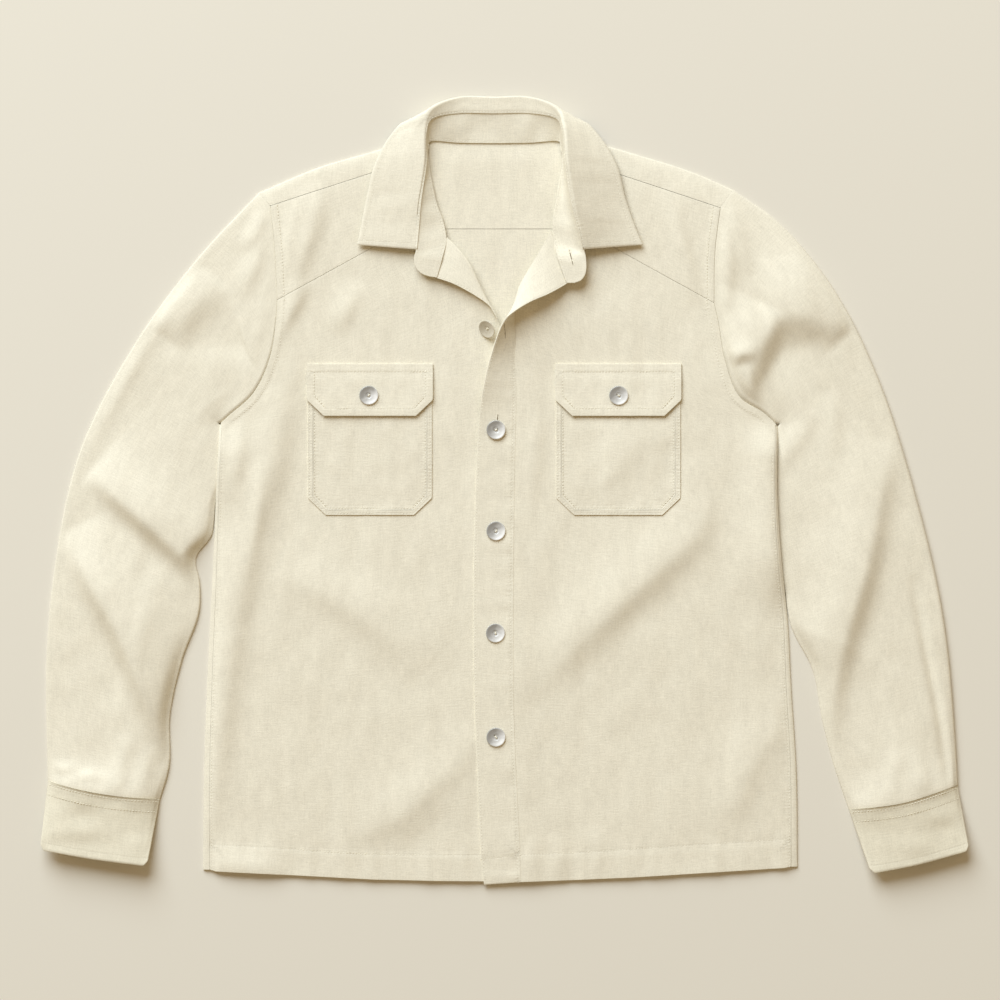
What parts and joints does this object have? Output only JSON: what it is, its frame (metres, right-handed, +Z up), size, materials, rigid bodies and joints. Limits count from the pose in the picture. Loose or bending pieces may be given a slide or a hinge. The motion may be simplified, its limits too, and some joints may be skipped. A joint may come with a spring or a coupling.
{
  "type": "overshirt, laid flat",
  "caption": "Long-sleeved overshirt laid flat and face up, with open collar, yokes, buttoned front, flapped chest pockets and cuffs, for shelves, beds and tables.",
  "frame": {"origin": "on the underside of the back, on the surface that the garment lies on, near the middle of its plan", "axes": "+X towards the wearer's left sleeve, +Y towards the collar, +Z up from the surface"},
  "size_m": [0.9267, 0.789, 0.0356],
  "materials": {
    "cloth": "matt ecru cotton and linen plain weave with slubs",
    "button": "polished grey-white shell"
  },
  "bodies": {
    "root": {"back": "cloth", "back_yoke": "cloth", "front_right": "cloth", "front_left": "cloth", "front_yoke_right": "cloth", "front_yoke_left": "cloth", "facing_right": "cloth", "placket": "cloth", "collar_stand": "cloth", "collar_fall": "cloth", "sleeve_right": "cloth", "sleeve_left": "cloth", "cuff_right": "cloth", "cuff_left": "cloth", "pocket_right": "cloth", "pocket_left": "cloth", "flap_right": "cloth", "flap_left": "cloth", "button_front_1": "button", "button_front_2": "button", "button_front_3": "button", "button_front_4": "button", "button_front_5": "button", "button_flap_right": "button", "button_flap_left": "button"}
  },
  "joints": []
}
